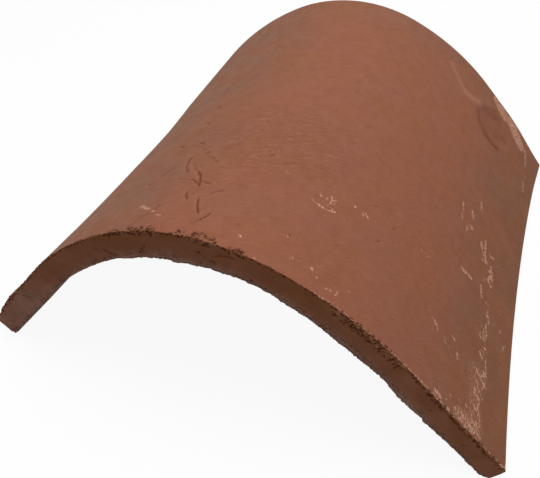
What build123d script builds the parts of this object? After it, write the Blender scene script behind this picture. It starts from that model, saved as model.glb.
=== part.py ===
from build123d import *
from math import cos, radians, sin, tan
import os

# Hand-made clay ridge tile: one slab of clay bent over a former and fired in one piece.
# It lies as it does on a roof ridge. X runs across it, Y along it and Z up. The origin is on the
# bedding plane, under the middle of the tile. Lengths are millimetres and angles are degrees.

os.makedirs("parts", exist_ok=True)

# Overall size
tile_length = 300.0  # along the ridge, from end face to end face
tile_height = 132.0  # crown above the bedding plane, at either end
crown_sag = 6.0  # the crown dips this much half way along, as the soft slab settled on its former

# Section across the ridge, measured on the outer face
crown_radius = 116.0
crown_half_angle = 25.7  # the crown arc runs this far each side of the top
haunch_radius = 203.0
leg_angle = 48.3  # slope of the straight legs below the horizontal
wall = 17.7  # thickness of the slab

# Edges
foot_bevel = 12.0  # the long edges are cut this far past square, so the inner corner hangs lower
bedding_land = 5.0  # width of the flat that each long edge stands on
outer_arris = 2.0  # radius of the sponged outer edges, at both ends and along both feet

# The cut runs down from the outer arris, and the corner it makes is flattened on the bedding plane
cut_slope = 90 - leg_angle + foot_bevel
cut_width = wall / cos(radians(foot_bevel))
corner_below_land = bedding_land / (1 / tan(radians(cut_slope)) + 1 / tan(radians(leg_angle)))
outer_foot_height = cut_width * sin(radians(cut_slope)) - corner_below_land


def slab_section(station, crown_height):
    """The slab's cross-section at a station along Y, with its crown at the given height."""
    with BuildSketch(Plane.XZ.offset(-station)) as section:
        with BuildLine():
            crown = JernArc((0, crown_height), (1, 0), crown_radius, -crown_half_angle)
            haunch = JernArc(crown @ 1, crown % 1, haunch_radius, crown_half_angle - leg_angle)
            leg_drop = (haunch @ 1).Y - outer_foot_height
            leg = PolarLine(haunch @ 1, leg_drop, -leg_angle, length_mode=LengthMode.VERTICAL)
            foot_cut = PolarLine(leg @ 1, cut_width, cut_slope + 180)
            crown_lining = JernArc((0, crown_height - wall), (1, 0), crown_radius - wall, -crown_half_angle)
            haunch_lining = JernArc(
                crown_lining @ 1, crown_lining % 1, haunch_radius - wall, crown_half_angle - leg_angle
            )
            Line(haunch_lining @ 1, foot_cut @ 1)
            mirror(about=Plane.YZ)
        make_face()
    return section.sketch


# The slab drapes from end to end over the former, lower in the middle
with BuildPart() as ridge_tile:
    loft(
        sections=[
            slab_section(-tile_length / 2, tile_height),
            slab_section(0, tile_height - crown_sag),
            slab_section(tile_length / 2, tile_height),
        ]
    )
    split(bisect_by=Plane.XY, keep=Keep.TOP)
    skin_edges = faces().filter_by(lambda face: face.normal_at().Z > 0).edges()
    end_arrises = skin_edges.group_by(Axis.Y)[0] + skin_edges.group_by(Axis.Y)[-1]
    foot_arrises = skin_edges.group_by(Axis.Z)[0]
    fillet(end_arrises + foot_arrises, radius=outer_arris)

ridge_tile.part.label = "ridge_tile"
export_step(ridge_tile.part, "parts/ridge_tile.step")
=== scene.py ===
import math

import bpy
import numpy as np
from mathutils import Matrix, Vector, noise


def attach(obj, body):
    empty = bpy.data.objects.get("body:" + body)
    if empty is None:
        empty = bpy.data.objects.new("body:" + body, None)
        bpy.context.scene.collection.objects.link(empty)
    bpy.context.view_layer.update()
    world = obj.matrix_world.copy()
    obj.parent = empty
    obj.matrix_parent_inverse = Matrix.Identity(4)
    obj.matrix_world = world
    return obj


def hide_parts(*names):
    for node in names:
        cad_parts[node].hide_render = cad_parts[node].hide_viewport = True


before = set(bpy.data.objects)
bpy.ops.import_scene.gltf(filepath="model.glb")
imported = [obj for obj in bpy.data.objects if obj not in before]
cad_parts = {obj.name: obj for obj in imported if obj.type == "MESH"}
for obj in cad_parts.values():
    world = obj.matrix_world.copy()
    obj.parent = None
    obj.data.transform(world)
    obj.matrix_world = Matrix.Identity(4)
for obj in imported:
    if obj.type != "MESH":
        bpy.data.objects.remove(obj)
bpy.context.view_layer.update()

# The rolled slab
# A ridge tile starts as one flat sheet of red clay, rolled to an even wall and cut with a wire.
# It is made flat here, X along its girth and Y along the ridge, with the weather side on top.
MM = 0.001  # lengths below are in millimetres, and the mesh is in metres
wall = 17.7
tile_length = 300.0
near_end = -tile_length / 2
crown_height = 132.0
crown_sag = 6.0
crown_radius = 116.0
crown_half_angle = math.radians(25.7)
haunch_radius = 203.0
leg_angle = math.radians(48.3)
outer_foot_height = 11.5
foot_bevel = 12.0
outer_arris = 2.0

crown_arc = crown_radius * crown_half_angle
haunch_arc = haunch_radius * (leg_angle - crown_half_angle)


def crown_top(along):
    """Height of the crown above the bedding plane, lower half way along the tile."""
    return crown_height - crown_sag * (1 - (2 * along / tile_length) ** 2)


def half_girth(along):
    """Girth of the outer face from the crown to the outer arris of a foot."""
    haunch_drop = crown_radius * (1 - math.cos(crown_half_angle))
    haunch_drop += haunch_radius * (math.cos(crown_half_angle) - math.cos(leg_angle))
    leg_drop = crown_top(along) - haunch_drop - outer_foot_height
    return crown_arc + haunch_arc + leg_drop / math.sin(leg_angle)


cell = 4.3  # size of the sheet's quads
wall_layers = 4
sheet_width = 2 * half_girth(near_end)
bpy.ops.object.select_all(action="DESELECT")
bpy.ops.mesh.primitive_grid_add(
    x_subdivisions=round(sheet_width / cell), y_subdivisions=round(tile_length / cell), size=1
)
tile = bpy.context.object
tile.name = "clay_ridge_tile"
bpy.ops.object.mode_set(mode="EDIT")
bpy.ops.transform.resize(value=(sheet_width * MM, tile_length * MM, 1))
for layer in range(wall_layers):
    bpy.ops.mesh.extrude_region_move(
        TRANSFORM_OT_translate={"value": (0, 0, wall / wall_layers * MM)}
    )
bpy.ops.mesh.select_all(action="SELECT")
bpy.ops.mesh.normals_make_consistent(inside=False)
bpy.ops.object.mode_set(mode="OBJECT")


def read_points():
    """Places of the mesh's points: across and along the slab, and depth below its outer skin."""
    flat = np.empty(len(tile.data.vertices) * 3)
    tile.data.vertices.foreach_get("co", flat)
    across, along, height = flat.reshape(-1, 3).T / MM
    return across, along, wall - height


def read_faces():
    """The same for the middles of the mesh's faces."""
    flat = np.empty(len(tile.data.polygons) * 3)
    tile.data.polygons.foreach_get("center", flat)
    across, along, height = flat.reshape(-1, 3).T / MM
    return across, along, wall - height


# The long edges are cut a little waisted, so that both feet stand level once the crown has sagged
across, along, depth = read_points()
waisted = across * half_girth(along) / half_girth(near_end)
tile.data.vertices.foreach_set("co", np.stack([waisted, along, wall - depth], 1).ravel() * MM)
tile.data.update()


# Handling marks
# A stroke is its places on the slab, across from the crown and along from the middle, then its
# width and its strength. Creases and scores were pressed into wet clay, and rubs came later.
creases = [
    ([(-37, -76), (-35.5, -81.5), (-34.5, -85.5), (-32, -90), (-29.5, -93)], 1.5, 0.7),
    ([(-31, -83), (-27, -88.5), (-22.5, -93)], 1.4, 0.45),
    ([(-22.5, -93), (-19.5, -96), (-17.5, -100), (-16, -103.5), (-14.5, -107)], 1.3, 1),
    ([(-23.5, -102), (-22, -101), (-19.5, -102.5), (-16.5, -105), (-14.5, -107)], 1.1, 0.9),
    ([(-31, -100.5), (-28, -101), (-25.5, -102)], 1, 0.45),
    ([(-28.5, -103.5), (-25, -104.5)], 0.9, 0.45),
    ([(-14, -102.5), (-11.5, -103.5), (-9, -104)], 0.9, 0.8),
    ([(-18.5, -114), (-18, -116.5), (-15.5, -119.5)], 1.2, 0.9),
    ([(-9, -119), (-7.5, -123), (-5.5, -127), (-3.5, -130)], 1.1, 1),
    ([(-15, -108), (-14, -111.5)], 1.1, 0.35),
    ([(-25, -75.5), (-20.5, -77.5), (-16, -82)], 1.2, 0.55),
    ([(-6, -102), (-4, -105.5), (-3.5, -109.5)], 1.1, 0.25),
    ([(-14, -116.5), (-14, -114.5)], 1.6, 0.35),
    ([(-37, -76), (-34, -78.5)], 1.2, 0.4),
    ([(-39.5, -58.5), (-36.5, -59)], 1.2, 0.9),
    ([(-56, -57), (-53.5, -58)], 2, 0.7),
    ([(-44.5, -60.5), (-38.5, -63.5), (-36, -63.5), (-35, -62.5)], 1.2, 0.4),
    ([(-33, -66.5), (-31, -67.5)], 1.2, 0.6),
    ([(-27.5, -72.5), (-26.5, -70.5)], 1.2, 0.8),
    ([(-48.5, -54), (-45, -54.5)], 2.3, 0.3),
    ([(-49.5, -30), (-47, -32)], 2.7, 0.5),
    ([(-53, -6.5), (-51, -9)], 2.6, 0.5),
    ([(-37, -44), (-34.5, -44)], 1.5, 0.4),
    ([(-12, -96), (-9.5, -94), (-7.5, -93)], 1, 0.4),
    ([(-18.5, -56.5), (-14.5, -55.5)], 1.4, 0.3),
    ([(-11, -55), (-8.5, -55)], 1.4, 0.4),
    ([(-3.5, -54.5), (-0.5, -53.5)], 1, 0.3),
    ([(-1, -45.5), (1.5, -44)], 1.1, 0.35),
    ([(-15, -51.5), (-13, -52.5)], 1.6, 0.35),
    ([(5, -71), (7.5, -71.5)], 1.1, 0.5),
    ([(11, -67.5), (13, -66)], 1.2, 0.7),
    ([(13.5, -58), (15, -59.5), (16, -62)], 1.5, 0.35),
    ([(-8, -84), (-5.5, -82.5)], 1.2, 0.3),
    ([(-11, -87.5), (-6.5, -87.5)], 1.3, 0.3),
]
scores = [
    ([(-5, -112.5), (-3, -110), (0, -108)], 0.8, 0.95),
    ([(0, -108), (1.5, -106.5)], 0.7, 0.4),
    ([(1, -101), (4.5, -101), (8.5, -101)], 0.8, 0.5),
    ([(-44, -84.5), (-45, -88), (-47, -91.5), (-48, -94)], 1.2, 0.8),
    ([(-48.5, -99.5), (-52.5, -102)], 1.2, 0.55),
    ([(-53.5, -100.5), (-51, -103.5)], 2, 0.6),
    ([(-29, -126.5), (-29.5, -129.5), (-30.5, -131)], 0.9, 0.8),
    ([(-31, -133), (-33, -136), (-34.5, -137.5)], 1, 0.7),
    ([(-34.5, -137.5), (-35.5, -142.5), (-37, -147)], 1, 0.5),
    ([(2.5, -128.5), (1.5, -132), (0, -135)], 0.8, 1),
    ([(0, -135), (-1.5, -137.5), (-3, -139.5)], 0.7, 0.6),
    ([(-3.5, -142.5), (-6, -144.5)], 0.7, 0.35),
    ([(-16, -132), (-17.5, -137.5), (-16.5, -144.5), (-15, -147.5)], 1.1, 0.35),
]
pits = [
    ([(18, -131), (19.5, -130.5)], 0.8, 0.65),
    ([(13, -135.5), (13.5, -137)], 1, 0.33),
    ([(15.5, -141), (16.5, -143.5)], 0.8, 0.33),
    ([(13, -128), (15, -127)], 1, 0.2),
    ([(18.5, -149.5), (19, -150)], 0.9, 0.2),
    ([(21.5, -71.5), (22, -70)], 1.3, 0.26),
    ([(42.5, -61), (44.5, -59.5)], 1.6, 0.39),
    ([(38, -69.5), (39.5, -70)], 1.1, 0.26),
    ([(39, -74.5), (41, -73)], 1, 0.26),
    ([(46, -89), (46.5, -89)], 0.9, 0.39),
    ([(72.5, -71.5), (77, -67.5)], 0.6, 0.26),
    ([(78, -66.5), (79, -65.5)], 1.4, 0.52),
    ([(75, -61), (75.5, -61.5)], 1.2, 0.33),
    ([(76.5, -56), (77, -52.5)], 1.2, 0.26),
    ([(87.5, -74.5), (88, -75)], 1.3, 0.39),
    ([(93, -73), (94, -72)], 1.3, 0.52),
    ([(86.5, -90.5), (88, -89)], 1, 0.65),
    ([(81, -83.5), (81.5, -82.5)], 1.1, 0.26),
    ([(53, -96), (53.5, -96.5)], 0.8, 0.39),
    ([(54, -100), (55, -100)], 0.9, 0.26),
    ([(66, -90.5), (67, -90.5)], 0.9, 0.52),
    ([(43.5, -123), (44.5, -124.5)], 1, 0.59),
    ([(52.5, -126), (53.5, -125.5)], 0.9, 0.33),
    ([(54.5, -125.5), (55, -125.5)], 0.7, 0.33),
    ([(67.5, -112.5), (68, -112.5)], 1.1, 0.39),
    ([(52, -135), (53, -135)], 0.8, 0.39),
    ([(73.5, -87), (76, -85.5)], 1.5, 0.23),
    ([(38.5, -103), (39, -103.5)], 1, 0.2),
    ([(104.5, -69.5), (109, -65)], 1.1, 0.33),
    ([(105, -21.5), (108, -19.5)], 1.9, 0.23),
    ([(122, -76.5), (123.5, -75.5)], 1.2, 0.26),
    ([(95, -28), (96, -27.5)], 1.3, 0.2),
    ([(72.5, -39), (76, -35.5)], 1.4, 0.26),
    ([(73, -24.5), (74, -23)], 1, 0.2),
]
rubs_on_crown = [
    ([(46.5, -82.5), (47, -82.5)], 0.8, 0.6),
    ([(47.5, -84), (48, -84.5)], 1.2, 1),
    ([(44, -90), (46.5, -92), (49, -91.5)], 1, 0.6),
    ([(49, -92), (50.5, -92.5), (52, -92.5)], 0.9, 0.95),
    ([(52, -92.5), (54, -92.5), (56.5, -91.5)], 0.7, 0.85),
    ([(56.5, -91.5), (58.5, -90.5)], 1.1, 1),
    ([(56.5, -89.5), (58, -90)], 0.7, 0.8),
    ([(60.5, -90.5), (62, -90)], 0.8, 0.4),
    ([(64, -89.5), (66, -91)], 0.8, 0.45),
    ([(51, -83.5), (52.5, -85), (54.5, -86.5)], 0.7, 0.85),
    ([(53, -81), (54, -81.5)], 1, 0.9),
    ([(54, -82.5), (54.5, -85.5)], 0.6, 0.7),
    ([(54.5, -82.5), (56.5, -85)], 0.7, 0.8),
    ([(55, -81), (56.5, -82.5)], 0.6, 0.7),
    ([(55, -83), (56.5, -81)], 0.7, 0.8),
    ([(53, -89), (53.5, -88.5)], 0.7, 0.7),
    ([(51.5, -85.5), (52, -84)], 0.6, 0.6),
    ([(67, -77.5), (67.5, -77)], 1.3, 0.9),
    ([(63.5, -69), (66, -65.5)], 0.8, 0.35),
    ([(72.5, -78), (73.5, -79.5), (74, -79.5)], 0.8, 0.8),
    ([(74, -77.5), (75, -77.5)], 0.9, 0.9),
    ([(75.5, -78), (77, -79.5)], 0.8, 0.8),
    ([(43, -124.5), (43.5, -125)], 0.9, 0.7),
    ([(49.5, -136.5), (51, -136.5)], 1.3, 0.5),
    ([(49, -138.5), (49.5, -138.5)], 0.7, 0.4),
    ([(61, -136), (61.5, -136.5)], 1.2, 1),
    ([(65, -139.5), (66, -139.5)], 0.9, 0.8),
    ([(71, -142.5), (72, -142.5)], 0.8, 0.6),
    ([(73.5, -141.5), (74.5, -143)], 0.7, 0.7),
    ([(75, -139), (76, -138)], 0.6, 0.55),
    ([(77, -144.5), (77, -142), (77.5, -140)], 1, 0.75),
    ([(77, -139), (77.5, -140)], 0.6, 0.6),
    ([(82, -136), (83, -135)], 0.7, 0.6),
    ([(77.5, -147.5), (78, -148)], 0.6, 0.4),
    ([(79.5, -148), (80.5, -148)], 0.6, 0.4),
    ([(34.5, -148.5), (35, -148.5)], 0.7, 0.8),
    ([(-40.5, -126.5), (-38, -128)], 2, 0.8),
    ([(-38, -128), (-35, -129.5), (-33.5, -130)], 1.5, 0.95),
    ([(-30, -132.5), (-29, -132)], 1.3, 0.9),
    ([(-25.5, -135), (-22.5, -136)], 1, 0.75),
    ([(22.5, -138), (23.5, -138.5)], 1.1, 1),
]
rubs_on_leg = [
    ([(137, 2.5), (138.5, -3)], 1.7, 0.95),
    ([(138.5, -7), (139.5, -11.5)], 1.7, 0.65),
    ([(146, 9.5), (147.5, 4.5)], 1.6, 0.3),
    ([(147.5, 4.5), (149, 0.5)], 2.6, 0.65),
    ([(154, 22), (155.5, 16.5)], 2.5, 0.6),
    ([(144.5, -7.5), (145.5, -12.5)], 2, 0.35),
    ([(146, -13.5), (146, -16.5)], 2.1, 0.6),
    ([(149, -9.5), (150, -10)], 3.5, 0.6),
    ([(114.5, -70), (115, -70.5)], 1.9, 0.45),
    ([(117.5, -69.5), (119.5, -70.5)], 1.1, 0.5),
    ([(119.5, -70.5), (121.5, -69.5)], 1.2, 0.65),
    ([(162, -12.5), (163, -16)], 2.4, 0.75),
    ([(164, -16.5), (165, -20.5)], 1.6, 0.45),
    ([(165.5, -7), (166.5, -13.5)], 2.2, 0.7),
    ([(166.5, -13.5), (167, -20)], 2, 0.75),
    ([(167, -20), (169, -23.5)], 2.9, 0.85),
    ([(169, -23.5), (171, -24)], 1.5, 0.6),
    ([(165, -25.5), (166, -25.5)], 1.7, 0.6),
    ([(171.5, -13.5), (173, -15), (176, -13.5)], 1.3, 0.7),
    ([(149.5, -50.5), (152, -50.5), (154.5, -49.5)], 2.1, 1),
    ([(154.5, -49.5), (158.5, -50)], 2, 0.9),
    ([(175, -23), (175.5, -27.5)], 1.8, 0.7),
    ([(175.5, -26.5), (177.5, -32)], 2.9, 0.9),
    ([(172.5, -28), (175.5, -30.5)], 1.3, 0.6),
    ([(175, -33), (174, -36.5), (176.5, -38)], 1.7, 0.9),
    ([(176.5, -38), (178, -39)], 1.7, 0.8),
    ([(178, -33.5), (179, -37.5)], 1.1, 0.6),
    ([(170, -38.5), (171, -40.5)], 1.4, 0.6),
    ([(165, -45), (166, -44.5)], 1.5, 0.35),
    ([(168.5, -46.5), (170, -51.5), (171, -54.5)], 1.4, 1),
    ([(194.5, 106.5), (196, 102)], 3, 0.35),
    ([(195, 95.5), (196, 84)], 2.5, 0.5),
    ([(196, 77), (197, 70.5)], 2.7, 0.35),
    ([(130.5, -102), (132, -103.5)], 1.2, 0.6),
    ([(135, -106.5), (137.5, -107)], 1.2, 0.45),
    ([(137.5, -106.5), (140, -108.5), (141, -109.5)], 1.5, 0.8),
    ([(144.5, -109), (148, -112), (151, -113)], 1, 0.4),
    ([(147.5, -113), (149.5, -113.5)], 1.1, 0.5),
    ([(151, -113), (153.5, -116), (156, -117.5)], 0.9, 0.4),
    ([(147.5, -110), (151, -108.5)], 1.1, 0.35),
    ([(153.5, -104), (156, -105)], 1.7, 0.7),
    ([(159.5, -111.5), (161, -114.5)], 1.4, 0.7),
    ([(166, -119.5), (168.5, -123.5)], 2.2, 0.25),
    ([(171, -115), (172, -116.5)], 1.1, 0.35),
    ([(176, -55), (178.5, -54.5)], 1.2, 0.7),
    ([(179, -59), (179, -61.5)], 1.3, 0.6),
    ([(178.5, -63.5), (180.5, -65.5)], 2.1, 0.85),
    ([(180.5, -65.5), (181.5, -69)], 1.2, 0.8),
    ([(179.5, -71), (179.5, -75)], 1.4, 0.9),
    ([(175.5, -75), (176, -77)], 1, 0.5),
    ([(175, -81.5), (176, -85)], 1.1, 0.9),
    ([(178, -77), (178, -80.5), (179, -82.5)], 1.1, 0.9),
    ([(180, -75), (181, -77.5), (181, -81)], 1.1, 0.9),
    ([(178.5, -78), (180, -80.5)], 1.2, 0.7),
    ([(177, -84), (180.5, -83.5)], 1, 0.8),
    ([(180.5, -86), (182, -86.5)], 1, 0.5),
    ([(181, -89.5), (182, -89)], 1.4, 0.9),
    ([(178, -92.5), (178.5, -92.5)], 1.1, 0.7),
    ([(177.5, -95), (179, -96.5), (180, -97)], 1.5, 1),
    ([(180.5, -92.5), (182, -94.5)], 1, 0.7),
    ([(183.5, -90), (184, -91.5)], 0.9, 0.5),
    ([(184, -95), (184, -99), (185.5, -103.5)], 1, 0.8),
    ([(178.5, -101), (179.5, -104)], 1, 0.4),
    ([(177.5, -109), (179.5, -110), (181.5, -110)], 1.6, 1),
    ([(180.5, -107.5), (181.5, -107.5)], 0.8, 0.5),
    ([(183, -105.5), (185, -105.5), (185, -109)], 1.1, 0.95),
    ([(181.5, -110), (185.5, -106)], 1.3, 0.9),
    ([(185.5, -103.5), (186.5, -106.5)], 0.9, 0.7),
    ([(183, -112), (185.5, -112.5), (184.5, -116.5)], 1.4, 0.9),
    ([(185.5, -112.5), (187.5, -114)], 1.2, 0.85),
    ([(186, -109.5), (187, -112)], 0.8, 0.6),
    ([(179, -115.5), (180.5, -118), (182, -120)], 1.3, 1),
    ([(178.5, -121), (179.5, -123.5)], 1.5, 0.95),
    ([(179, -124), (182, -125)], 1.7, 0.95),
    ([(184, -121), (185, -122), (186.5, -123)], 0.8, 0.6),
    ([(183, -124.5), (184, -128.5)], 1.2, 0.9),
    ([(178, -131), (180, -132)], 1.2, 0.8),
    ([(183.5, -128.5), (182.5, -132.5), (181, -133)], 1.4, 1),
    ([(184.5, -132), (185.5, -136)], 1, 0.8),
    ([(184, -134.5), (184.5, -136.5)], 0.7, 0.5),
    ([(186.5, -136.5), (186.5, -140.5)], 1.1, 0.9),
    ([(183.5, -140.5), (184.5, -144.5)], 1.6, 0.95),
    ([(185, -142), (187, -143.5)], 1.1, 0.8),
    ([(180, -136.5), (179.5, -140.5)], 1, 0.8),
    ([(179.5, -140.5), (180.5, -143)], 0.9, 0.7),
    ([(173, -135), (174, -136.5)], 0.9, 0.7),
    ([(174, -136), (175.5, -137.5)], 0.8, 0.7),
    ([(172.5, -138.5), (173.5, -139)], 0.7, 0.5),
    ([(171, -143), (173, -144.5)], 1.5, 0.85),
    ([(169, -147.5), (168, -151)], 1.4, 0.7),
    ([(170, -148.5), (173.5, -148)], 1.8, 0.8),
    ([(165, -144), (166.5, -144.5)], 0.9, 0.6),
    ([(162.5, -135.5), (163, -135.5)], 0.8, 0.5),
    ([(160.5, -139.5), (161.5, -140)], 1, 0.7),
    ([(158, -144), (158.5, -145)], 0.9, 0.6),
    ([(165.5, -135.5), (166, -136.5)], 0.6, 0.35),
    ([(168, -137.5), (169, -137.5)], 1.2, 0.8),
    ([(167, -137.5), (167.5, -137.5)], 0.7, 0.5),
    ([(170.5, -134), (171.5, -134.5)], 0.7, 0.4),
    ([(149.5, -146), (151.5, -146), (153.5, -146.5)], 1.9, 1),
    ([(148.5, -148.5), (151, -149)], 1.3, 0.8),
    ([(153.5, -145), (155.5, -144.5)], 0.6, 0.5),
    ([(160.5, -148.5), (162.5, -149)], 1.4, 0.9),
    ([(174.5, -144.5), (179, -145)], 2.2, 0.8),
    ([(179, -145), (183, -147)], 2, 0.85),
    ([(180.5, -141), (183, -143)], 1.4, 0.7),
    ([(177.5, -147), (181.5, -148.5)], 1.7, 0.7),
    ([(184.5, -145.5), (188.5, -146.5)], 1.8, 0.7),
    ([(193, -64), (193.5, -65)], 1.5, 0.8),
    ([(189.5, -49.5), (190.5, -52)], 1.5, 0.35),
    ([(199.5, -70.5), (198.5, -73.5), (198, -76)], 1.3, 0.6),
    ([(194.5, -85), (195, -85.5)], 1.2, 0.4),
    ([(192.5, -149), (196, -148)], 1.8, 0.4),
    ([(193, -143), (195, -145)], 1.2, 0.3),
    ([(200.5, -148.5), (204.5, -149)], 1.6, 0.35),
    ([(210, -150), (212.5, -148)], 1.3, 1),
    ([(210.5, -151.5), (212.5, -150)], 0.9, 0.8),
]
pressed = creases + scores + pits
rubs = rubs_on_crown + rubs_on_leg

# Stretches of the near, far and right edges are rubbed in broad bands, and the two thin bands along the
# near arris are a painted highlight
rubbed_and_highlight_bands = [
    ([(148, 145), (154.5, 142), (159, 140)], 9.0, 0.90),
    ([(160, 144.5), (170, 146)], 3.0, 0.50),
    ([(171, 142), (176, 138), (182.5, 135)], 11.5, 1.00),
    ([(183.5, 139.5), (191.5, 136)], 3.0, 0.50),
    ([(150, 149), (200, 149)], 3.0, 0.60),
    ([(192, 138), (193.5, 128), (194.5, 117)], 2.2, 0.70),
    ([(170, -146), (181, -145)], 9.0, 0.55),
    ([(176, -110), (184, -146)], 12.0, 0.38),
    # A painted highlight along the near arris, not a rub
    ([(66, -149.6), (125, -149.6)], 1.3, 0.55),
    ([(125, -149.4), (212, -149.4)], 1.8, 0.65),
]

# A broad soft smear beside the thumb mark, where a finger closed the skin
smears = [
    ([(94, 129), (97, 125), (104, 118), (112, 112.5)], 6.0, 0.6),
    ([(112, 112.5), (120.5, 113.5), (128.5, 118.5)], 7.0, 0.9),
    ([(128.5, 118.5), (138, 131)], 6.0, 0.4),
]

# Folds of clay that the thumb pushed up round its mark on the far haunch
thumb_folds = [
    ([(133, 100), (139.5, 95)], 3.6, 0.7),
    ([(139.5, 95), (148.5, 92.5), (159, 94)], 4.4, 1.0),
    ([(163, 114), (166.3, 109)], 3.0, 0.7),
    ([(129, 110), (133, 100)], 4.0, 0.5),
    ([(137, 118), (145, 122), (152, 128)], 6.0, 0.3),
]

# Creases and pits in the wire-cut near end, as places across and depths below the skin
face_pits = [
    ([(-29.1, 10.2), (-29.3, 10.8)], 1.4, 0.8),
    ([(-31.5, 12.3), (-32, 12.8)], 1.9, 0.9),
    ([(-34.3, 14.2), (-34.8, 14.6)], 1.4, 0.7),
    ([(5.4, 8.8), (6, 9.1)], 1.6, 0.8),
    ([(12.8, 12.9), (15, 12.9)], 1.5, 0.8),
    ([(9.3, 2.9), (11.8, 3.2)], 1.8, 0.6),
    ([(15.4, 8), (20.8, 5.8), (25.2, 5.3)], 1.1, 0.6),
    ([(-66.2, 6.9), (-63, 9.8)], 1.3, 0.5),
    ([(-59.5, 9.6), (-57.7, 12.3), (-53.2, 14.9)], 1.6, 0.7),
    ([(-161.4, 5.4), (-158.7, 9)], 1.4, 0.6),
    ([(151.7, 3.3), (152.3, 3.5)], 1.8, 0.8),
    ([(146.5, 7.4), (147.2, 7.6)], 1.4, 0.6),
    ([(158.5, 8.8), (159.2, 8.8)], 1.3, 0.6),
    ([(188.6, 10), (189.2, 7.3)], 1.0, 0.5),
]


def stroke_distance(places, stroke):
    """Distance from each place to a stroke's line."""
    nearest = np.full(len(places), np.inf)
    for start, end in zip(stroke[:-1], stroke[1:]):
        start, run = np.array(start, float), np.subtract(end, start, dtype=float)
        share = np.clip((places - start) @ run / (run @ run), 0, 1)
        nearest = np.minimum(nearest, np.linalg.norm(places - start - share[:, None] * run, axis=1))
    return nearest


def stamp(first, second, strokes, profile):
    """The strongest mark at each place, where profile shapes a stroke by distance in widths."""
    reach = 3  # widths, past which no profile leaves a mark
    places = np.stack([first, second], 1)
    mark = np.zeros(len(places))
    for stroke, width, strength in strokes:
        low = np.min(stroke, axis=0) - reach * width
        high = np.max(stroke, axis=0) + reach * width
        close = np.flatnonzero(np.all((places > low) & (places < high), axis=1))
        shaped = strength * profile(stroke_distance(places[close], stroke) / width)
        mark[close] = np.where(np.abs(shaped) > np.abs(mark[close]), shaped, mark[close])
    return mark


def ramp(value, low, high):
    """0 below low and 1 above high, eased between them, and turned round where high is less."""
    share = np.clip((value - low) / (high - low), 0, 1)
    return share * share * (3 - 2 * share)


# The torn arris
# The wire dragged and tore the near end's outer arris, which fired as rough crumbs of clay.
# Each stretch is a start and an end across, and its reach over the skin and down the cut face.
tears = [
    (-216, -80, 0.7, 1.3),
    (-80, -54, 1.3, 1.7),
    (-52, -38, 2.4, 2.2),
    (-38, -18, 4.0, 2.6),
    (-18, -8, 0.9, 1.5),
    (-9, 2, 3.0, 1.6),
    (0, 14, 4.4, 3.6),
    (12, 22, 0.9, 1.7),
    (21, 31, 2.2, 2.6),
    (31, 82, 0.6, 1.2),
    (80, 128, 1.0, 5.2),
    (124, 150, 0.8, 2.2),
    (146, 216, 1.2, 2.8),
]


def tear_reach(across):
    """How far the tear reaches over the skin and down the cut face at each place across."""
    taper = 3
    over_skin, down_face = np.zeros(len(across)), np.zeros(len(across))
    for start, end, skin_reach, face_reach in tears:
        inside = ramp(across, start - taper, start + taper) * ramp(across, end + taper, end - taper)
        over_skin = np.maximum(over_skin, skin_reach * inside)
        down_face = np.maximum(down_face, face_reach * inside)
    return over_skin, down_face


def refine(chosen):
    """Halves the chosen quads of the mesh."""
    corners = np.empty(len(tile.data.polygons), int)
    tile.data.polygons.foreach_get("loop_total", corners)
    bpy.context.tool_settings.mesh_select_mode = (False, False, True)
    tile.data.vertices.foreach_set("select", np.zeros(len(tile.data.vertices), bool))
    tile.data.edges.foreach_set("select", np.zeros(len(tile.data.edges), bool))
    tile.data.polygons.foreach_set("select", chosen & (corners == 4))
    bpy.ops.object.mode_set(mode="EDIT")
    bpy.ops.mesh.subdivide(number_cuts=1)
    bpy.ops.object.mode_set(mode="OBJECT")


def near_strokes(across, along, strokes, reach):
    """True within reach of a stroke's edge."""
    widened = [(stroke, width + 2 * reach, 1) for stroke, width, strength in strokes]
    return stamp(across, along, widened, lambda widths: widths < 0.5) > 0


# The mesh is made finer in three passes, each closer to the marks and the tears than the last
hair = 0.01  # what lies nearer to a face than this lies on it
near_strip, foot_strip = 10, 1
across, along, depth = read_faces()
refine(
    (depth < hair)
    | (np.abs(along) > -near_end - hair)
    | (along < near_end + near_strip)
    | (half_girth(along) - np.abs(across) < foot_strip)
)
near_strip, near_skin_strip, arris_strip, mark_margin = 5, 8, 4, 1.6
across, along, depth = read_faces()
skin = depth < hair
from_foot = half_girth(along) - np.abs(across)
refine(
    (along < near_end + near_strip)
    | skin & (along < near_end + near_skin_strip)
    | skin & (along > -near_end - arris_strip)
    | (along > -near_end - hair) & (depth < arris_strip)
    | skin & (from_foot < arris_strip)
    | (from_foot < hair) & (depth < arris_strip)
    | skin & near_strokes(across, along, pressed + rubs, mark_margin)
)
skin_margin, face_margin, inner_strip, lining_strip, mark_margin = 1.5, 1.0, 2.5, 2, 0.4
across, along, depth = read_faces()
skin = depth < hair
cut_face = along < near_end + hair
over_skin, down_face = tear_reach(across)
refine(
    skin & (along < near_end + over_skin + skin_margin)
    | cut_face & (depth < down_face + face_margin)
    | cut_face & (depth > wall - inner_strip)
    | (depth > wall - hair) & (along < near_end + lining_strip)
    | skin & near_strokes(across, along, pressed + rubs, mark_margin)
    | cut_face & near_strokes(across, depth, face_pits, mark_margin)
)


# Sponging and tearing
# The maker wiped the skin and the arrises with a wet sponge, which left shallow waves and ridges.
# The cut face is smoother, and the arris between them is pitted where clay came away in crumbs.
across, along, depth = read_points()
places = np.stack([across, along, depth], 1)
skin = depth < hair
lining = depth > wall - hair
cut_face = along < near_end + hair
far_face = along > -near_end - hair
from_near = along - near_end
from_far = -near_end - along
from_foot = half_girth(along) - np.abs(across)
foot_face = from_foot < hair
next_pattern = Vector((17.3, 5.1, 9.7))  # each noise is read this far from the one before


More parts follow.
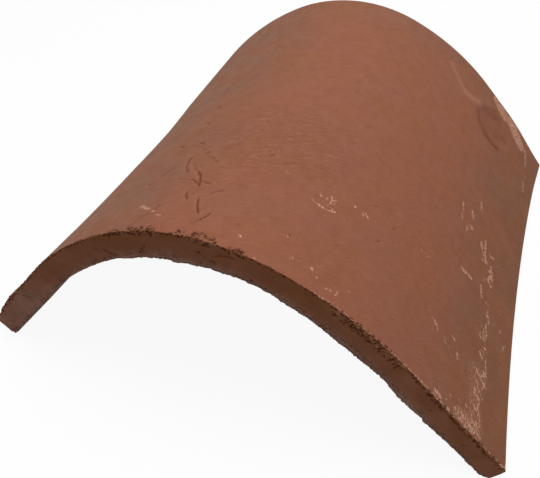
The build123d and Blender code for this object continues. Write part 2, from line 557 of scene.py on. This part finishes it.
def unevenness(lump, seed):
    """Smooth noise between about -1 and 1, with lumps of the given size."""
    shift = next_pattern * seed
    return np.array([noise.noise(Vector(place) / lump + shift) for place in places])


def crumble(grain, seed, wanted):
    """The middle of the grain at each place, the grain's height from 0 to 1, and 0 in the gaps."""
    shift = next_pattern * seed
    own_draw = 37.7  # spreads the middles out, so that each grain draws a height of its own
    gap_rise = 3
    middles, heights, inside = places.copy(), np.ones(len(places)), np.ones(len(places))
    for index in np.flatnonzero(wanted):
        distances, points = noise.voronoi(Vector(places[index]) / grain + shift)
        middles[index] = (points[0] - shift) * grain
        heights[index] = 0.5 + 0.5 * noise.cell(points[0] * own_draw)
        inside[index] = min(1, gap_rise * (distances[1] - distances[0]))
    return middles, heights, inside


# Whole grains come away, so the tear ends raggedly, with lone pits at its limit
tear_limit, tear_depth_limit, fray_limit, grain, fray_width = 9, 14, 5, 1.2, 2.4
near_arris = (from_near < tear_limit) & (skin | cut_face & (depth < tear_depth_limit))
inner_arris = (from_near < fray_limit) & (lining | cut_face & (depth > wall - fray_limit))
middles, heights, inside = crumble(grain, 5, near_arris | inner_arris)
over_skin, down_face = tear_reach(middles[:, 0])
torn_skin = middles[:, 1] - near_end < over_skin * (1.5 - 1.0 * heights)
torn_face = middles[:, 2] < down_face * (1.3 - 0.6 * heights)
torn = np.where(near_arris & np.where(skin, torn_skin, torn_face), 1.0, 0.0)
fray_reach = fray_width * (1.6 - 1.2 * heights)
frayed_lining = middles[:, 1] - near_end < fray_reach
frayed_face = wall - middles[:, 2] < fray_reach
fray = np.where(inner_arris & np.where(lining, frayed_lining, frayed_face), 1.0, 0.0)
# Grain heights, from which painted shade between the grains and painted highlights on their tops are
# drawn
crumb = heights * (0.65 + 0.35 * inside)

# Depth that is lost there: a little all over, most where a grain is low, and some in the gaps
bite = torn * (0.1 + 0.7 * (1 - heights) + 0.3 * (1 - inside))
bite += fray * (0.1 + 0.8 * (1 - heights) + 0.2 * (1 - inside))


def dent(widths):
    """The rounded profile of a mark that was pressed in."""
    return np.exp(-((widths / 0.6) ** 2))


# The skin lies under waves of the sponge, then under pressed marks with their raised lips, and
# under puckers round the creases. Depths are millimetres below the slab's own skin.
groove = stamp(across, along, pressed, lambda widths: np.exp(-((widths / 0.55) ** 2)))
lip = stamp(across, along, creases, lambda widths: np.exp(-(((widths - 1.2) / 0.45) ** 2)))
pucker = ramp(np.hypot((across + 24) / 30, (along + 98) / 36), 1.1, 0.5)
sink = 0.34 + 0.26 * unevenness(70, 1) + 0.10 * unevenness(26, 2) + 0.03 * unevenness(7, 4)
sink += 0.75 * groove - 0.15 * lip
sink += 0.45 * pucker * unevenness(4.5, 14)

# A thumb pressed the far haunch while the clay was soft, deepest along its lower edge
thumb_depth = 0.9
thumb = np.clip(1 - ((across - 147) / 19) ** 2 - ((along - 112) / 21) ** 2, 0, 1)
fold = stamp(across, along, thumb_folds, dent)
sink += thumb_depth * ramp(thumb, 0, 0.5) + thumb_depth * fold
sink = np.where(skin, sink, 0)

# The wall isn't even near the cut end, and its inner arris steps where bits came off.
# Each pair is a place across and how much thicker the wall is there.
thicker_places = [
    (-214, 0.2), (-130, 0.3), (-105, -3.4), (-75, -2.8), (-60, -0.9), (-48, 1.3), (-16, 1.5),
    (-13, 2.9), (0, 2.4), (12.5, 1.4), (14.5, 2.3), (30, 1.5), (53, 0.9), (57, 1.9), (75, 1.6),
    (95, 3.0), (112, 2.9), (127, 1.4), (134, 1.3), (144, 2.8), (155, 2.4), (163, 1.2),
    (166, 2.4), (169, 1.6), (180, 1.2), (195, -0.8), (214, -0.8),
]
near_stretch = 60
near_share = ramp(from_near, near_stretch, 0)
thicker = np.interp(across, *np.transpose(thicker_places)) * near_share
swell = np.where(lining, thicker + 0.45 * unevenness(34, 7) + 0.15 * unevenness(9, 8), 0)

# The wire and the trimming knife left the ends and the feet a little wavy
pitted = stamp(across, depth, face_pits, dent)
push = 0.25 + 0.20 * unevenness(30, 9) + 0.10 * unevenness(8, 10) + 0.9 * pitted
push = np.where(cut_face, push, 0)
pull = np.where(far_face, 0.20 + 0.18 * unevenness(22, 11), 0)
trim = np.where(foot_face, 0.25 + 0.30 * unevenness(9, 15) + 0.25 * unevenness(3.5, 16), 0)

# The far right corner is knocked back, most at the foot
knock = 11.0 * ramp(across, 158, 218) ** 1.3 * ramp(from_far, 60, 0)


def round_arris(first, second, radius):
    """Rounds the corner between two faces, given each point's depth below both."""
    near = (first < radius) & (second < radius)
    reach = np.hypot(radius - first, radius - second) + 1e-9
    return (np.where(near, radius - (radius - first) * radius / reach, first),
            np.where(near, radius - (radius - second) * radius / reach, second))


# Every arris is rounded, the torn one least, and then the crumbs are taken out
torn_radius = 0.8
frayed_radius = np.clip(1.1 + 0.7 * unevenness(9, 12), 0.3, 2.5)
left_near = (across < 0) & (from_near < 40)
foot_radius = np.where(left_near, 4.0, outer_arris)
inner_foot_radius = np.where(left_near, 2.0, 1.2)
new_depth = depth + sink + swell
new_far = from_far + pull
new_near = from_near + push
new_foot = from_foot + trim
new_far, new_depth = round_arris(new_far, new_depth, outer_arris)
new_foot, new_depth = round_arris(new_foot, new_depth, foot_radius)
new_near, new_depth = round_arris(new_near, new_depth, torn_radius)
new_near, from_lining = round_arris(new_near, wall - new_depth + swell, frayed_radius)
new_depth = np.where(depth > wall / 2, wall + swell - from_lining, new_depth)
new_foot, from_lining = round_arris(new_foot, wall - new_depth, inner_foot_radius)
new_depth = np.where(depth > wall / 2, wall - from_lining, new_depth)

new_depth += np.where(lining, -bite, np.where(skin, bite, 0))
new_along = np.where(from_far < from_near, -near_end - new_far, near_end + new_near) - knock
new_along += np.where(cut_face, bite, 0)
new_across = half_girth(along) - new_foot


# Bending and drying
# The finished slab is draped over a wooden former and dries there, sagging half way along.
# Its feet are trimmed past square, and the tile's weight flattens their lower corners.
def bend(across, along, depth):
    """Where the flat slab's points lie on the bent tile."""
    girth = np.abs(across)
    in_haunch = girth > crown_arc
    haunch_turn = crown_half_angle + (girth - crown_arc) / haunch_radius
    angle = np.minimum(np.where(in_haunch, haunch_turn, girth / crown_radius), leg_angle)
    radius = np.where(in_haunch, haunch_radius, crown_radius)
    centre = np.where(in_haunch, crown_radius - haunch_radius, 0)
    down_leg = np.maximum(girth - crown_arc - haunch_arc, 0)
    x = centre * math.sin(crown_half_angle) + (radius - depth) * np.sin(angle)
    z = centre * math.cos(crown_half_angle) + (radius - depth) * np.cos(angle)
    x += down_leg * math.cos(leg_angle)
    z += crown_top(along) - crown_radius - down_leg * math.sin(leg_angle)
    return np.stack([np.sign(across) * x, along, np.maximum(z, 0)], 1)


# The knife leaned towards the near end, where the left foot is nearer to square than the right
knife_lean = np.where(across < 0, -1, 1) * math.radians(6) * ramp(from_near, 120, 0)
new_across += new_depth * np.tan(math.radians(foot_bevel) + knife_lean) * ramp(from_foot, 12, 0)

# The left leg bulged as it dried. Each pair is a place across and how far it stands out there.
bulge_places = [
    (-214, -1.8), (-209, -1.4), (-197, 0.9), (-186, 1.5), (-175, 2.0), (-164, 1.2), (-150, 0.4),
    (-135, 0.0),
]
new_depth -= np.where(skin, np.interp(across, *np.transpose(bulge_places)) * near_share, 0)
bent = bend(np.sign(across) * new_across, new_along, new_depth)
tile.data.vertices.foreach_set("co", bent.ravel() * MM)
tile.data.update()


# Fired terracotta
# Iron-rich clay fired to a red brown, matt with a faint sheen where the sponge closed its skin.
# The cut end is darker and coarse, torn clay is darkest, with painted shade between its grains and
# painted highlights on their tops, and rubbed places show the paler body.
def worn(widths):
    """The flat profile of a rub, with soft edges."""
    return ramp(widths, 1.0, 0.3)


# Where each finish lies is stored on the mesh, one value from 0 to 1 for each point
patchy = 0.5 * unevenness(42, 17)
ruddy = ramp(across + 25 * patchy, -48, 5) * ramp(across, 190, 110) * ramp(along, 170, 90)
right_grey = ramp(from_foot + 14 * patchy, 85, 20) * ramp(across, 90, 150)
left_grey = 0.7 * ramp(across - 12 * patchy, -88, -118) * ramp(along, -110, 0)
sponged = 0.35 + 0.65 * ramp(np.hypot((across - 10) / 55, (along + 50) / 50), 1.1, 0.4)
smeared = stamp(across, along, smears, lambda widths: ramp(widths, 0.8, 0))
rubs_and_arris_highlight = np.maximum(stamp(across, along, rubs, worn), stamp(across, along, rubbed_and_highlight_bands, worn))
# The cut face takes the lining's paler colour in a band along its inner rim, a painted highlight where
# the rounded inner arris catches light, and is paler towards the left foot
rim_highlight_and_pale_foot = 0.3 * ramp(wall - depth, 8, 1) + 0.5 * ramp(across, -115, -185)
rim_highlight_and_pale_foot = np.where(cut_face, np.maximum(rim_highlight_and_pale_foot, 0.7 * fray), 0)
finishes = {
    "ruddy": ruddy * (1 + 0.5 * patchy),
    "greyed": np.where(skin, np.maximum(right_grey, left_grey), 0),
    "sponged": np.where(skin, sponged, 0.2),
    "smeared": np.where(skin, smeared, 0),
    # Painted shade in the thumb's dent, strongest in the grooves of its folds
    "thumb_dent_shade": np.where(skin, 0.2 * ramp(thumb, 0, 0.5) + 0.85 * fold, 0),
    "cut": np.where(cut_face | far_face, 1, np.where(foot_face, 0.8, 0)),
    "lining": np.where(lining, 1, rim_highlight_and_pale_foot),
    "torn": torn,
    "crumb": crumb,
    # Creases, scores and pits are painted darker in their hollows: painted shade on top of their real
    # depth
    "groove_shade": np.where(skin, groove, np.where(cut_face, pitted, 0)),
    # The raised lips of creases carry a painted highlight
    "lip": np.where(skin, lip, 0),
    "rubs_and_arris_highlight": np.where(skin, rubs_and_arris_highlight, 0),
}
for name, values in finishes.items():
    layer = tile.data.attributes.new(name, "FLOAT", "POINT")
    layer.data.foreach_set("value", np.clip(values, 0, 1).astype(np.float32))

# Patterns that follow the bend read their place on the flat slab
layout = tile.data.uv_layers.new(name="slab")
corner_points = np.empty(len(tile.data.loops), int)
tile.data.loops.foreach_get("vertex_index", corner_points)
flat_places = np.stack([across, along], 1)[corner_points] * MM
layout.data.foreach_set("uv", flat_places.astype(np.float32).ravel())


def linear(hex_colour):
    """An sRGB hex colour as linear RGBA."""
    channels = [int(hex_colour[i:i + 2], 16) / 255 for i in (1, 3, 5)]
    return [c / 12.92 if c <= 0.04045 else ((c + 0.055) / 1.055) ** 2.4 for c in channels] + [1]


def add(tree, kind, inputs=None, **settings):
    """Adds a node with its settings. An input is a value, or a socket or a node to link from."""
    node = tree.nodes.new("ShaderNode" + kind)
    for name, value in settings.items():
        setattr(node, name, value)
    for key, value in (inputs or {}).items():
        if isinstance(value, bpy.types.Node):
            value = next(socket for socket in value.outputs if socket.enabled)
        if isinstance(value, bpy.types.NodeSocket):
            tree.links.new(value, node.inputs[key])
        else:
            node.inputs[key].default_value = value
    return node


terracotta = bpy.data.materials.new("fired_terracotta")
terracotta.use_nodes = True
clay = terracotta.node_tree
clay.nodes.clear()
finish = {name: add(clay, "Attribute", attribute_name=name).outputs["Fac"] for name in finishes}
place = add(clay, "TexCoord").outputs["Object"]
slab_place = add(clay, "UVMap", uv_map="slab")

# Patterns of the clay: the size of their lumps in millimetres, then the noise's detail and
# roughness. Real sand is about a third as coarse as the last ones, which are coarse enough to show.
pattern = {}
for name, lump, detail, roughness in [
    ("kiln_clouds", 30, 2, 0.5),
    ("cut_clouds", 20, 3, 0.5),
    ("lining_clouds", 14, 5, 0.5),
    ("sheen", 12, 4, 0.5),
    ("mottle", 6, 5, 0.65),
    ("flecks", 3, 4, 0.6),
    ("cut_grog", 1.4, 3, 0.5),
    ("coarse_grain", 1.3, 5, 0.7),
    ("speckle", 1.2, 3, 0.7),
    ("crumb_grain", 0.9, 3, 0.7),
    ("sand", 0.8, 4, 0.6),
]:
    pattern[name] = add(clay, "TexNoise", {
        "Vector": place, "Scale": 1 / (lump * MM), "Detail": detail, "Roughness": roughness
    })

# Wipe marks and worn fibres are drawn out along lines on the slab, which stand at an angle to X
for name, lump, detail, roughness, wriggle, angle, stretch in [
    ("wipes", 1.7, 4, 0.6, 0.9, 20, 3.5),
    ("fibres", 0.9, 3, 0.75, 0, 98, 2.2),
]:
    drawn_out = add(clay, "Mapping", {
        "Vector": slab_place, "Rotation": (0, 0, math.radians(angle)), "Scale": (stretch, 1, 1)
    }, vector_type="TEXTURE")
    pattern[name] = add(clay, "TexNoise", {
        "Vector": drawn_out, "Scale": 1 / (lump * MM), "Detail": detail, "Roughness": roughness,
        "Distortion": wriggle
    })

# Iron spots, each about a millimetre across and about 9 mm apart
pattern["spots"] = add(clay, "TexVoronoi", {"Vector": place, "Scale": 1 / (9 * MM)})

# Shares that a pattern or a finish covers: it runs from the first two values to the last two
share = {}
for name, source, low, high, least, most in [
    ("kiln_clouds", pattern["kiln_clouds"], 0.35, 0.65, 0, 0.35),
    ("mottle", pattern["mottle"], 0.42, 0.75, 0, 0.35),
    ("flecks", pattern["flecks"], 0.55, 0.8, 0, 0.35),
    ("speckle", pattern["speckle"], 0.5, 0.75, 0, 0.3),
    ("wipe_trough_shade", pattern["wipes"], 0.5, 0.75, 0, 0.6),
    ("wipe_crest_highlight", pattern["wipes"], 0.45, 0.25, 0, 0.45),
    ("lining_clouds", pattern["lining_clouds"], 0.35, 0.65, 0, 1),
    ("cut_clouds", pattern["cut_clouds"], 0.4, 0.65, 0, 1),
    ("cut_grog", pattern["cut_grog"], 0.5, 0.8, 0, 0.4),
    ("crumb_grain", pattern["crumb_grain"], 0.35, 0.7, -0.25, 0.25),
    ("crumb_glints", finish["crumb"], 0.93, 0.97, 0, 0.8),
    ("torn", finish["torn"], 0.25, 0.75, 0, 1),
    ("groove_shade", finish["groove_shade"], 0.05, 1, 0, 0.8),
    ("lip_highlight", pattern["fibres"], 0.45, 0.7, 0, 0.35),
    ("spots", pattern["spots"], 0.085, 0.04, 0, 0.45),
    ("fibres", pattern["fibres"], 0.4, 0.6, 0.05, 1.7),
    ("sheen", pattern["sheen"], 0.3, 0.7, 0.68, 0.82),
]:
    share[name] = add(clay, "MapRange", {
        "Value": source, "From Min": low, "From Max": high, "To Min": least, "To Max": most
    }, interpolation_type="SMOOTHSTEP")

# Wipe troughs get painted shade and wipe crests a painted highlight where the sponge passed, and lips and
# rubs break up into fibres
for name, where in [
    ("wipe_trough_shade", finish["sponged"]),
    ("wipe_crest_highlight", finish["sponged"]),
    ("lip_highlight", finish["lip"]),
    ("fibres", finish["rubs_and_arris_highlight"]),
]:
    share[name] = add(clay, "Math", {0: share[name], 1: where}, operation="MULTIPLY")
share["smear"] = add(clay, "Math", {0: finish["smeared"], 1: 0.6}, operation="MULTIPLY")
share["rubs_and_arris_highlight"] = add(clay, "MapRange", {
    "Value": share["fibres"], "From Min": 0.3, "From Max": 1, "To Min": 0, "To Max": 0.9
}, interpolation_type="SMOOTHSTEP")
crumb_tone = add(clay, "Math", {0: finish["crumb"], 1: share["crumb_grain"]}, operation="ADD")
share["crumb_top"] = add(clay, "MapRange", {
    "Value": crumb_tone, "From Min": 0, "From Max": 0.8, "To Min": 0, "To Max": 1
}, interpolation_type="SMOOTHSTEP")

# Colours: each coat covers its share of the coat named before it, with a hex colour or a coat.
# Redder clay lies along the crown and browner beside it. The lining took pale sand and ash from
# the former, and the wire-cut ends show the grog. Torn crumbs get painted shade between the
# grains, painted highlights on their tops and painted glints on the highest.
coat = {}
for name, under, covered, over in [
    ("skin", "#825845", finish["ruddy"], "#8D5743"),
    ("skin", "skin", finish["greyed"], "#7B503A"),
    ("skin", "skin", share["kiln_clouds"], "#8E5635"),
    ("skin", "skin", share["mottle"], "#7C4A32"),
    ("skin", "skin", share["flecks"], "#AC7456"),
    ("skin", "skin", share["speckle"], "#7C4A32"),
    # Painted shade in the wipe troughs and painted highlights on their crests, which the same noise sinks
    # and raises in the bump
    ("skin", "skin", share["wipe_trough_shade"], "#70422C"),
    ("skin", "skin", share["wipe_crest_highlight"], "#B57E62"),
    ("skin", "skin", share["smear"], "#AC7A62"),
    # Painted shade in the thumb's dent and the grooves of its folds
    ("skin", "skin", finish["thumb_dent_shade"], "#66341F"),
    ("cut", "#844F30", share["cut_clouds"], "#90593B"),
    ("cut", "cut", share["cut_grog"], "#5E3820"),
    ("lining", "#92695A", share["lining_clouds"], "#A67F6F"),
    # Torn clay is coloured by grain height: painted shade in the gaps, painted highlights on the tops
    ("crumb_gap", "#502716", finish["cut"], "#6A381D"),
    ("crumb_top", "#9C6A50", finish["cut"], "#B47A58"),
    ("torn", "crumb_gap", share["crumb_top"], "crumb_top"),
    # Painted glints on the highest grains
    ("torn", "torn", share["crumb_glints"], "#C8997F"),
    ("tile", "skin", finish["cut"], "cut"),
    # The lining colour also paints a highlight along the cut face's inner rim
    ("tile", "tile", finish["lining"], "lining"),
    ("tile", "tile", share["torn"], "torn"),
    # Painted shade in the hollows of creases, scores and the cut face's pits
    ("tile", "tile", share["groove_shade"], "#5A2A17"),
    # Painted highlight on the raised lips of creases
    ("tile", "tile", share["lip_highlight"], "#B8866C"),
    ("tile", "tile", share["spots"], "#5A3526"),
    # Paler clay where rubbed, and a painted highlight along the near arris
    ("tile", "tile", share["rubs_and_arris_highlight"], "#C6977F"),
]:
    under, over = [linear(shade) if shade[0] == "#" else coat[shade] for shade in (under, over)]
    coat[name] = add(clay, "Mix", {0: covered, 6: under, 7: over}, data_type="RGBA")

# Relief too fine for the mesh: sand and wipe marks on the skin, coarser on cut and torn clay
cut_coarse = add(clay, "Math", {0: finish["cut"], 1: 0.5}, operation="MULTIPLY")
lining_coarse = add(clay, "Math", {0: finish["lining"], 1: 0.4}, operation="MULTIPLY")
coarse = add(clay, "Math", {0: finish["torn"], 1: cut_coarse}, operation="MAXIMUM")
coarse = add(clay, "Math", {0: coarse, 1: lining_coarse}, operation="MAXIMUM")
sand_relief = add(clay, "Math", {0: pattern["sand"], 1: 0.16}, operation="MULTIPLY")
wipe_depth = add(clay, "Math", {0: finish["sponged"], 1: 1.9}, operation="MULTIPLY")
wipe_relief = add(clay, "Math", {0: pattern["wipes"], 1: wipe_depth}, operation="MULTIPLY")
grain_relief = add(clay, "Math", {0: pattern["coarse_grain"], 1: coarse}, operation="MULTIPLY")
relief = add(clay, "Math", {0: sand_relief, 1: wipe_relief}, operation="SUBTRACT")
relief = add(clay, "Math", {0: relief, 1: grain_relief}, operation="ADD")
bump = add(clay, "Bump", {"Strength": 1, "Distance": 0.5 * MM, "Height": relief})

# Coarse clay is the least glossy
coarse_matt = add(clay, "Math", {0: coarse, 1: 0.95}, operation="MULTIPLY")
matt = add(clay, "Math", {0: share["sheen"], 1: coarse_matt}, operation="MAXIMUM")
surface = add(clay, "BsdfPrincipled", {
    "Base Color": coat["tile"], "Roughness": matt, "IOR": 1.5, "Specular IOR Level": 0.17, "Normal": bump
})
add(clay, "OutputMaterial", {"Surface": surface})
tile.data.materials.append(terracotta)

bpy.ops.object.shade_smooth_by_angle(angle=math.radians(55))
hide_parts("ridge_tile")
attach(tile, "root")


# The studio
# A plain pale floor under a broad soft light from above, and a camera where the picture was taken.
def white_share(tree, lit, seen):
    """One value for the rays that light the tile, and another for those that see the background."""
    rays = add(tree, "LightPath").outputs
    mirrored = add(tree, "Math", {
        0: rays["Is Glossy Ray"], 1: rays["Is Transmission Ray"]
    }, operation="MAXIMUM")
    sees = add(tree, "Math", {0: rays["Is Camera Ray"], 1: mirrored}, operation="MAXIMUM")
    return add(tree, "MapRange", {"Value": sees, "To Min": lit, "To Max": seen})


bpy.ops.object.select_all(action="DESELECT")
bpy.ops.mesh.primitive_plane_add(size=8, location=(0, 0, -0.2 * MM))
floor = bpy.context.object
floor.name = "pale_floor"
floor_paper = bpy.data.materials.new("white_paper")
floor_paper.use_nodes = True
paper = floor_paper.node_tree
paper.nodes.clear()
shaded = add(paper, "BsdfDiffuse", {"Color": linear("#BEBEBE")})
white = add(paper, "Emission", {"Strength": 1.06})
add(paper, "OutputMaterial", {
    "Surface": add(paper, "MixShader", {0: white_share(paper, 0.0, 0.88), 1: shaded, 2: white})
})
floor.data.materials.append(floor_paper)

light_place = Vector((0.15, 0.1, 1.6))
bpy.ops.object.light_add(type="AREA", location=light_place)
overhead = bpy.context.object
overhead.name = "overhead_softbox"
overhead.data.shape = "SQUARE"
overhead.data.size = 1.0
overhead.data.energy = 23
overhead.rotation_euler = light_place.to_track_quat("Z", "Y").to_euler()

studio_room = bpy.data.worlds.new("studio_room")
bpy.context.scene.world = studio_room
studio_room.use_nodes = True
room = studio_room.node_tree
room.nodes.clear()
room_light = add(room, "Background", {"Color": (1, 1, 1, 1), "Strength": white_share(room, 0.2, 1.0)})
add(room, "OutputWorld", {"Surface": room_light})

# The view of the picture, found from the outlines of the tile
picture_width_px = 540
focal_px = 615.8
azimuth, elevation, roll = math.radians(24.23), math.radians(41.84), math.radians(-4.61)
target = Vector((-18.5, -11.7, 6.35)) * MM
camera_distance = 476.3 * MM
back = Vector((
    math.sin(azimuth) * math.cos(elevation), -math.cos(azimuth) * math.cos(elevation), math.sin(elevation)
))
level = Vector((0, 0, 1)).cross(back).normalized()
upright = back.cross(level)
right = level * math.cos(roll) + upright * math.sin(roll)
up = upright * math.cos(roll) - level * math.sin(roll)
bpy.ops.object.camera_add()
camera = bpy.context.object
camera.name = "picture_camera"
camera.data.sensor_width = 36
camera.data.lens = focal_px * camera.data.sensor_width / picture_width_px
turn = Matrix((right, up, back)).transposed().to_4x4()
camera.matrix_world = Matrix.Translation(target + back * camera_distance) @ turn
bpy.context.scene.camera = camera
bpy.context.scene.view_settings.view_transform = "Standard"
